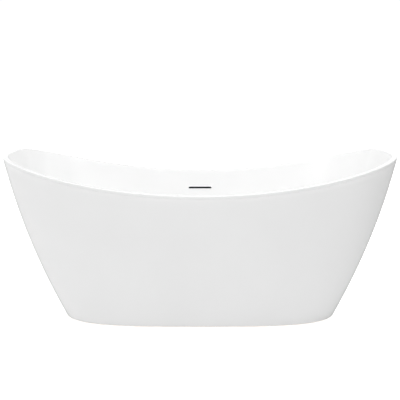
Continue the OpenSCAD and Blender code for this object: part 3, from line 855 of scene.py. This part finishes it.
def square_tube(length):
    """A square tube along X, centred on the origin, with the round corners of rolled section."""
    outer = rounded_square(TUBE / 2, TUBE / 2, TUBE_R)
    inner = rounded_square(TUBE / 2 - TUBE_T, TUBE / 2 - TUBE_T, TUBE_R - TUBE_T)
    ends = (outer, -1), (outer, 1), (inner, 1), (inner, -1)
    return shell([np.insert(plan, 0, side * length / 2, axis=1) for plan, side in ends])


def rail(side, name):
    """A rail, drilled for its two studs and for the bracket screws."""
    stud_hole = rod(STUD_HOLE_R, RAIL_Z - 0.002, RAIL_Z + 0.004)
    holes = [moved(stud_hole, at(x, side * RAIL_Y)) for x in (-FOOT_X, FOOT_X)]
    for x in BRACKET_X:
        place = at(x, side * (RAIL_Y - TUBE / 2), BOARD_Z - BRACKET_MID)
        holes.append(moved(rod(SCREW_R, -0.004, 0.004), place @ rotated(90 * side, "X")))
    tube = moved(square_tube(RAIL_L), at(0, side * RAIL_Y, RAIL_Z + TUBE / 2))
    piece(name + "_tube", [tube], "frame_steel", name, holes=holes)


def weld_bead(path):
    """A fillet weld along a path: a rippled, half-sunk bead."""
    points = smooth_path(path, 0.0006)
    ripple = [0.0018 + 0.0003 * abs(sin(pi * k / 4)) for k in range(len(points))]
    ripple[0] = ripple[-1] = 0.0008
    return shell(sweep(points, ripple, 10), looped=False)


def crossmember(index, x):
    """A cross-member with its weld beads to both rails."""
    length = 2 * RAIL_Y - TUBE
    parts = [moved(square_tube(length), at(x, 0, RAIL_Z + TUBE / 2) @ rotated(90))]
    for side in (-1, 1):
        for way in (-1, 1):
            edge, y = x + way * TUBE / 2, side * length / 2
            parts.append(weld_bead([(edge, y, RAIL_Z + rise) for rise in (0.003, 0.015, TUBE - 0.003)]))
    name = "crossmember_%d" % index
    piece(name + "_tube", parts, "frame_steel", name)


def rail_end_caps():
    """Four push-in caps with ribs that grip the tube."""
    parts = []
    inner = TUBE - 2 * TUBE_T
    rib = rounded_box((0.0016, inner - 0.0002, inner - 0.0002), 0.0007, 2)
    core = rounded_box((0.0095, inner - 0.003, inner - 0.003), 0.0007, 2)
    face = rounded_box((CAP_T, TUBE, TUBE), 0.0012)
    for x, turn in ((RAIL_L / 2, 0), (-RAIL_L / 2, 180)):
        for y in (-RAIL_Y, RAIL_Y):
            place = at(x, y, RAIL_Z + TUBE / 2) @ rotated(turn)
            parts.append(moved(face, place @ at(CAP_T / 2)))
            parts += [moved(rib, place @ at(-0.002 - 0.003 * k)) for k in range(3)]
            parts.append(moved(core, place @ at(-0.0045)))
    piece("rail_end_caps_moulded", parts, "black_plastic", "rail_end_caps")


def bracket_places():
    for x in BRACKET_X:
        for side, turn in ((1, 0), (-1, 180)):
            yield at(x, side * (RAIL_Y - TUBE / 2), BOARD_Z) @ rotated(turn)


def frame_brackets():
    """Bent angle brackets with a round bend and a hole in each leg."""
    far, ease, hole_r = BRACKET_LEG + BRACKET_T, 0.0003, SCREW_R + 0.0002
    middle = np.array([-far / 4, -far / 4])
    outline = np.array(soften([(0, -far, ease), (0, 0, 0), (-far, 0, ease), (-far, -BRACKET_T, ease),
                               (-BRACKET_T, -BRACKET_T, 0.0025), (-BRACKET_T, -far, ease)], 5))
    rings = []
    for x, shrink in ((-BRACKET_W / 2, ease), (-BRACKET_W / 2 + ease, 0), (BRACKET_W / 2 - ease, 0),
                      (BRACKET_W / 2, ease)):
        section = middle + (outline - middle) * (1 - shrink / 0.02)
        rings.append(np.insert(section, 0, x, axis=1))
    parts, holes = [], []
    for place in bracket_places():
        parts.append(moved(shell(rings, looped=False), place))
        holes.append(moved(rod(hole_r, -0.004, 0.001), place @ at(0, -BRACKET_MID, 0)))
        holes.append(moved(rod(hole_r, -0.001, 0.004), place @ at(0, 0, -BRACKET_MID) @ rotated(90, "X")))
    piece("frame_brackets_bent", parts, "zinc_steel", "frame_brackets", holes=holes)


def screw(length):
    """A pan-head screw that points up, with a cross recess and a rolled thread."""
    head = [(0, -0.0006), (0.0008, -0.0007), (0.0012, -SCREW_HEAD_H + 0.0002), (0.0022, -SCREW_HEAD_H),
            (0.0036, -0.002), (0.0044, -0.0012), (SCREW_HEAD_R, -0.0005), (SCREW_HEAD_R, 0), (0, 0)]
    wing = moved(rounded_box((0.0046, 0.0009, 0.0005), 0.0001, 2), at(0, 0, -SCREW_HEAD_H - 0.0001))
    return [lathe(head, 32), thread(SCREW_R - 0.0001, 0.0004, 0.0009, -0.0002, length, 12),
            wing, moved(wing, rotated(90))]


def frame_screws():
    """At each bracket, a screw up into the board and a shorter one into the rail."""
    parts = []
    for place in bracket_places():
        up = place @ at(0, -BRACKET_MID, -BRACKET_T)
        out = place @ at(0, -BRACKET_T, -BRACKET_MID) @ rotated(-90, "X")
        parts += [moved(part, up) for part in screw(0.012)]
        parts += [moved(part, out) for part in screw(0.0075)]
    piece("frame_screws_pan", parts, "zinc_steel", "frame_screws")


# ---- Feet ----

def nuts(name, low, node):
    nut = hex_nut(NUT_R, NUT_BORE, low, NUT_H)
    piece(name, [moved(nut, at(x, y)) for x, y in FEET.values()], "zinc_steel", node)


def stud(name, x, y):
    """An M12 levelling stud: ball flange in the pad, wrench hexagon, rolled thread."""
    ball = turned(48, 4, (0, 6, 0), (8, 6, 1.6), (8, 10, 1.2), (5.8, 10, 0.4), (5.8, 20.5, 0), (0, 20.5, 0))
    neck = turned(32, 4, (0, 26.5, 0), (5, 26.5, 0), (5, 30, 0), (0, 30, 0))
    parts = [ball, hex_nut(NUT_R, 0.004, 0.02, 0.007), neck,
             thread(STUD_R, 0.00095, STUD_PITCH, 0.0285, STUD_TOP)]
    piece("stud_" + name, [moved(part, at(x, y)) for part in parts], "zinc_steel",
          "foot_%s_stud" % name, name + "_foot")


def pad(name, x, y):
    """A moulded pad: a flange, eight ribs up to its collar, and a ringed sole."""
    half_rib = 0.0009
    body = turned(
        72, 3, (0, 0.6, 0), (12, 0.6, 0.3), (12.5, 0, 0.3), (16.5, 0, 0.3), (17, 0.6, 0.3),
        (19.5, 0.6, 0.3), (20, 0, 0.3), (24, 0, 0.6), (25, 1, 0.6), (25, 3, 0.9), (16, 6, 3),
        (14, 11, 1), (12, 14, 0.6), (6.3, 14, 0.3), (6.3, 10.3, 0), (8.3, 10.3, 0), (8.3, 5.7, 0),
        (0, 5.7, 0))
    side = mm((11.8, 12), (13.4, 11.2), (22.8, 3.8), (22.8, 2.2), (11.8, 2.2))
    rib = shell([np.array([(r, w, z) for r, z in side]) for w in (-half_rib, half_rib)], looped=False)
    parts = [body] + [moved(rib, rotated(45 * k)) for k in range(8)]
    piece("pad_" + name, [moved(part, at(x, y)) for part in parts], "black_plastic",
          "foot_%s_pad" % name, name + "_foot")


# ---- Drain and plug ----

def drain():
    """The drain body: flange, seat, threaded tube and spider."""
    body = turned(
        96, 5, (20, 78, 0.4), (22.6, 78, 0.6), (22.6, 127, 0.2), (35, 127.5, 0.4), (35, 130.5, 1.6),
        (27, 130.5, 0.7), (20, 126.5, 0.5))
    boss = turned(48, 4, (6.05, 103, 0), (10, 103, 0.6), (10, 107, 0.6), (6.05, 107, 0))
    outside = thread(0.0235, 0.0009, 0.002, 0.0795, 0.1215, 48, bore=0.022)
    spoke = rounded_box((0.012, 0.005, 0.004), 0.0008)
    spokes = [moved(spoke, rotated(turn) @ at(0.015, 0, 0.105)) for turn in (0, 120, 240)]
    piece("drain_body_cast", [body, boss, outside] + spokes, "chrome", "drain_body")


def drain_nut():
    piece("drain_nut_brass", [hex_nut(0.037, 0.02355, 0.1085, 0.01, 96)], "brass", "drain_nut")


def plug():
    """The pop-up plug: a low dome on its hub, and the rubber seal under it."""
    rise, r, low = 0.0028, 0.032, 0.1314
    dome = (r * r + rise * rise) / (2 * rise)
    top = low + 0.0044
    arc = [(r * q, top - dome + sqrt(dome * dome - (r * q) ** 2)) for q in np.linspace(0, 0.965, 14)]
    edge = soften([(0.0309, 0.1332, 0), (r, 0.133, 0.0007), (r, low, 0.0006), (0.028, low, 0)], 4)[1:]
    hub = [(0.008, low)] + mm((8, 124.5), (7.5, 124), (3.05, 124), (3.05, 128), (0, 128))
    piece("plug_cap_dome", [lathe(arc + edge + hub, 96)], "chrome", "plug_cap", "plug")
    seal = turned(96, 4, (13, 128, 0.3), (22, 128, 0.6), (25.8, 130.4, 0.6), (26.2, 131.3, 0.3),
                  (13, 131.3, 0.3))
    piece("plug_seal_ring", [seal], "rubber", "plug_seal", "plug")


def plug_spring():
    """The spring under the plunger, built at one length; the real spring stretches as the plug rises."""
    low, high, r, wire, turns, steps = 0.10045, 0.10755, 0.0042, 0.00045, 5, 32
    path = [(r * cos(2 * pi * k / steps), r * sin(2 * pi * k / steps),
             low + (high - low) * k / (steps * turns)) for k in range(steps * turns + 1)]
    coil = shell(sweep(path, [wire] * len(path), 10), looped=False)
    spring = make("plug_spring_wire", [coil], looks["spring_steel"])
    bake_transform(spring)
    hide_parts("plug_spring")


# ---- Waste ----

def waste_tee():
    """The waste tee: a socket with two bands, and a branch with a ringed barb."""
    body = turned(
        96, 4, (18.95, 34, 0.4), (24.5, 34, 0.4), (24.5, 65.5, 2), (28, 69.5, 2), (28, 72, 0.4),
        (29, 72.2, 0.6), (29, 77, 0.6), (28, 77.2, 0.4), (28, 89, 0.4), (29, 89.2, 0.6), (29, 96, 1),
        (23.55, 96, 0.6), (23.55, 75, 0.3), (17.5, 75, 0.4), (17.5, 50, 0.3), (18.95, 50, 0))
    barb = mm((7.2, 18), (16.5, 18), (15.5, 26.5), (14.2, 29), (14, 31), (14, 45.5), (13.6, 46))
    for k in range(5):
        y = 0.0475 + 0.0048 * k
        barb += [(0.0082, y), (0.009, y + 0.0004), (0.0086, y + 0.0034)]
    barb += mm((8, 71.6), (7.6, 72), (7.2, 72))
    branch = moved(lathe(barb, 64), at(0, 0, BRANCH_Z) @ rotated(-90, "X"))
    piece("waste_tee_moulded", [body, branch], "white_plastic", "waste_tee")


def slip_nut():
    """A hand nut with twelve round grips."""
    steps, grip_h = 144, 0.0018
    grip = np.maximum(0, np.cos(12 * around(steps))) ** 0.8
    rings = [lifted(circle(steps) * (r + grip_h * share * grip)[:, None], z) for r, z, share in (
        (0.01845, 0.029, 0), (0.0282, 0.029, 0.6), (0.029, 0.0297, 1), (0.029, 0.0405, 1),
        (0.0286, 0.042, 0.4), (0.0272, 0.043, 0), (0.0251, 0.043, 0), (0.02455, 0.0425, 0),
        (0.02455, 0.032, 0), (0.01845, 0.032, 0))]
    piece("slip_nut_grips", [shell(rings)], "white_plastic", "slip_nut")


def tailpiece():
    tube = turned(96, 4, (16.85, 8, 0.4), (19.05, 8, 0.5), (19.05, 28, 0.4), (18.4, 28.3, 0.2),
                  (18.4, 50, 0.4), (16.85, 50, 0.4))
    piece("tailpiece_tube", [tube], "chrome", "tailpiece")


# ---- Overflow ----

def overflow_trim():
    """The slot's chrome bezel, on a black sleeve that goes through the wall."""
    lining, hair = 0.0008, 0.00005
    inside = lining - LAYER_GAP
    bezel = [(lining, -TRIM_T, 0.0005), (TRIM_EDGE, -TRIM_T, 0.0009), (TRIM_EDGE, -hair, 0.0002),
             (SLEEVE_T, -hair, 0.0002), (lining, -hair, 0.0001)]
    sleeve = [(0, -0.001, 0.0003), (inside, -0.001, 0.0002), (inside, hair, 0),
              (SLEEVE_T, hair, 0.0002), (SLEEVE_T, SLEEVE_L, 0.0003), (0, SLEEVE_L, 0.0003)]
    for name, outline, slot in (("overflow_trim_bezel", bezel, "chrome"),
                                ("overflow_trim_sleeve", sleeve, "black_plastic")):
        ring = shell([slot_ring(grow, depth) for grow, depth in soften(outline, 5)])
        piece(name, [moved(ring, overflow_place())], slot, "overflow_trim")


def nipple_top():
    return overflow_place() @ Vector((0, SEAT_DEPTH + GASKET_T + BOX_D / 2, NIPPLE_Z))


def overflow_box():
    """The collecting box behind the wall: soft corners, three ribs, a ringed nipple."""
    front = SEAT_DEPTH + GASKET_T
    middle = overflow_place() @ at(0, front + BOX_D / 2, 0)
    inside = rounded_box((BOX_L - 2 * BOX_WALL, BOX_D - 2 * BOX_WALL, BOX_H - 2 * BOX_WALL), 0.002)
    box = make("overflow_box_moulded", [moved(rounded_box((BOX_L, BOX_D, BOX_H), 0.003, 4), middle)],
               looks["black_plastic"])
    cut(box, moved(inside, middle))
    cut(box, slot_cutter(SLEEVE_T + PLAY, front - 0.002, front + 0.004))
    stands_for(box, "root", "overflow_box")
    barb = [(0.0062, -NIPPLE_L), (0.008, -NIPPLE_L)]
    for k in range(3):
        z = -0.0212 + 0.0046 * k
        barb += [(0.0086, z + 0.0004), (0.009, z + 0.0034), (0.0082, z + 0.004)]
    barb += mm((8.4, -6), (9, -4), (9, 0), (6.2, 0))
    rib = rounded_box((0.002, 0.0006, BOX_H - 0.008), 0.0002, 2)
    parts = [moved(lathe(barb, 48), at(*nipple_top()))]
    parts += [moved(rib, overflow_place() @ at(x, front + BOX_D - 0.0002, 0)) for x in (-0.045, 0, 0.045)]
    piece("overflow_box_fittings", parts, "black_plastic", "overflow_box")


def overflow_hose():
    """The corrugated hose, with plain cuffs at both ends."""
    cuff, cuff_r, sides, thin = 0.018, 0.0119, 28, 12
    path = smooth_path([Vector(point) / 1000 for point in HOSE_ROUTE], HOSE_PITCH / 6)
    run = np.concatenate([[0], np.cumsum(np.linalg.norm(np.diff(path, axis=0), axis=1))])
    wave = 0.5 - 0.5 * np.cos(2 * pi * run / HOSE_PITCH)
    radii = HOSE_VALLEY_R + (HOSE_R - HOSE_VALLEY_R) * np.minimum(1, 1.35 * wave)
    ribbed = np.clip(np.minimum(run, run[-1] - run) / cuff - 1, 0, 0.2) * 5
    outside = sweep(path, radii * ribbed + cuff_r * (1 - ribbed), sides)
    inside = sweep(path[::thin], [HOSE_BORE_R] * len(path[::thin]), sides)
    if not np.allclose(path[::thin][-1], path[-1]):
        inside += sweep(path[-2:], [HOSE_BORE_R] * 2, sides)[1:]
    piece("overflow_hose_ribbed", [shell(outside + inside[::-1])], "hose_plastic", "overflow_hose",
          sharp=SHARP_HOSE)


def hose_clamp():
    """A worm-drive clamp round the Z axis: slotted band, housing and screw."""
    steps, width, inner, outer = 160, 0.01, 0.0123, 0.0132
    slotted = outer - (np.mod(np.arange(steps), 4) == 0) * 0.0004
    band = shell([lifted(circle(steps) * np.broadcast_to(r, steps)[:, None], z) for r, z in (
        (inner, 0), (outer, 0), (outer, 0.0024), (slotted, 0.0028), (slotted, 0.0072),
        (outer, 0.0076), (outer, width), (inner, width))])
    housing = moved(rounded_box((0.0062, 0.008, width), 0.0012), at(0.016, 0, width / 2))
    across = at(0.0166, 0, width / 2) @ rotated(90, "X")
    worm = moved(thread(0.0026, 0.0005, 0.001, -0.0062, 0.004, 16), across)
    head = moved(hex_nut(0.0036, 0.0006, -0.0095, 0.0034, 48), across)
    return [band, housing, worm, head]


def hose_clamps():
    low = at(0, 0.054, BRANCH_Z) @ rotated(-90, "X")
    high = at(*nipple_top()) @ at(0, 0, -NIPPLE_L + 0.002)
    parts = [moved(part, place) for place in (low, high) for part in hose_clamp()]
    piece("hose_clamps_worm", parts, "zinc_steel", "hose_clamps")


# ---- CAD nodes whose shape is right ----

CARRIED = {
    "rubber": ("drain_washer_upper", "drain_washer_lower", "slip_washer", "overflow_gasket"),
    "brass": ("plug_cartridge", "plug_plunger"),
}


def repaint(node, material):
    """Gives a CAD node's own object a material."""
    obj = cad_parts[node]
    if not obj.material_slots:
        obj.data.materials.append(material)
    for place in obj.material_slots:
        place.material = material


# ---- Studio ----

def floor_material():
    """A floor seen brighter and mirrored darker than it lights the tub, and clear from below."""
    material, tree = new_material("studio_floor")
    where = add(tree, "TexCoord").outputs["Object"]
    away = add(tree, "VectorMath", {0: where}, operation="LENGTH").outputs["Value"]
    shown = spread(tree, away, FLOOR_NEAR, FLOOR_FAR, *FLOOR_BRIGHTENS)
    path = add(tree, "LightPath").outputs
    strength = add(tree, "Mix", {0: path["Is Camera Ray"], 2: FLOOR_GLOW, 3: shown}).outputs[0]
    tone = spread(tree, path["Is Glossy Ray"], FLOOR_TONE, FLOOR_MIRRORED)
    pale = add(tree, "BsdfDiffuse", {"Color": tone}).outputs[0]
    glow = add(tree, "Emission", {"Color": WHITE, "Strength": strength}).outputs[0]
    both = add(tree, "AddShader", {0: pale, 1: glow}).outputs[0]
    clear = add(tree, "BsdfTransparent").outputs[0]
    unseen = maths(tree, "MAXIMUM", add(tree, "NewGeometry").outputs["Backfacing"],
                   path["Is Shadow Ray"])
    pick = add(tree, "MixShader", {0: unseen, 1: both, 2: clear})
    add(tree, "OutputMaterial", {"Surface": pick.outputs[0]})
    return material


def floor():
    corners = [(x * FLOOR_HALF, y * FLOOR_HALF, FLOOR_LOW) for x, y in ((-1, -1), (1, -1), (1, 1), (-1, 1))]
    mesh = bpy.data.meshes.new("studio_floor")
    mesh.from_pydata(corners, [], [(0, 1, 2, 3)])
    mesh.materials.append(floor_material())
    show("studio_floor", mesh)


def softbox(name, azimuth, elevation, distance, size, power):
    """A wide soft light that faces the tub: azimuth 0 is in front, 90 to the right."""
    a, e = radians(azimuth), radians(elevation)
    way = Vector((sin(a) * cos(e), -cos(a) * cos(e), sin(e)))
    name = "softbox_" + name
    data = bpy.data.lights.new(name, "AREA")
    data.shape = "RECTANGLE"
    data.size, data.size_y = size
    data.energy = power
    obj = show(name, data)
    obj.location = Vector((0, 0, LIGHTS_AIM)) + way * distance
    obj.rotation_mode = "QUATERNION"
    obj.rotation_quaternion = (-way).to_track_quat("-Z", "Y")
    obj.visible_camera = False


def studio():
    """A white surround, with soft light from every side, most from the front."""
    world = bpy.data.worlds.new("studio")
    scene.world = world
    tree = blank(world)
    seen = add(tree, "LightPath").outputs["Is Camera Ray"]
    strength = spread(tree, seen, SKY_LIGHT, SKY_SHOWN)
    sky = add(tree, "Background", {"Color": WHITE, "Strength": strength})
    add(tree, "OutputWorld", {"Surface": sky.outputs[0]})
    for light in SOFTBOXES:
        softbox(*light)
    scene.view_settings.view_transform = "Standard"


def camera():
    data = bpy.data.cameras.new("camera")
    data.sensor_width = CAMERA_SENSOR
    data.lens = CAMERA_LENS
    data.shift_y = CAMERA_SHIFT
    data.clip_end = 200
    obj = show("camera", data)
    obj.location = (0, -CAMERA_BACK, CAMERA_UP)
    obj.rotation_euler = (radians(90 - CAMERA_PITCH), 0, 0)
    scene.camera = obj


def build():
    for part in (basin_skin, basin_backing, skirt_skin, skirt_backing, rim_bond, skirt_strip, floor_board):
        part()
    rail(-1, "rail_front")
    rail(1, "rail_back")
    for index, x in enumerate(CROSS_X, 1):
        crossmember(index, x)
    for part in (rail_end_caps, frame_brackets, frame_screws):
        part()
    nuts("foot_weld_nuts_hex", RAIL_Z + TUBE_T, "foot_weld_nuts")
    nuts("foot_lock_nuts_hex", RAIL_Z - NUT_H, "foot_lock_nuts")
    for name, (x, y) in FEET.items():
        stud(name, x, y)
        pad(name, x, y)
    for part in (drain, drain_nut, plug, plug_spring, waste_tee, slip_nut, tailpiece, overflow_trim,
                 overflow_box, overflow_hose, hose_clamps):
        part()
    for look, nodes in CARRIED.items():
        for node in nodes:
            repaint(node, looks[look])


camera()
studio()
floor()
build()
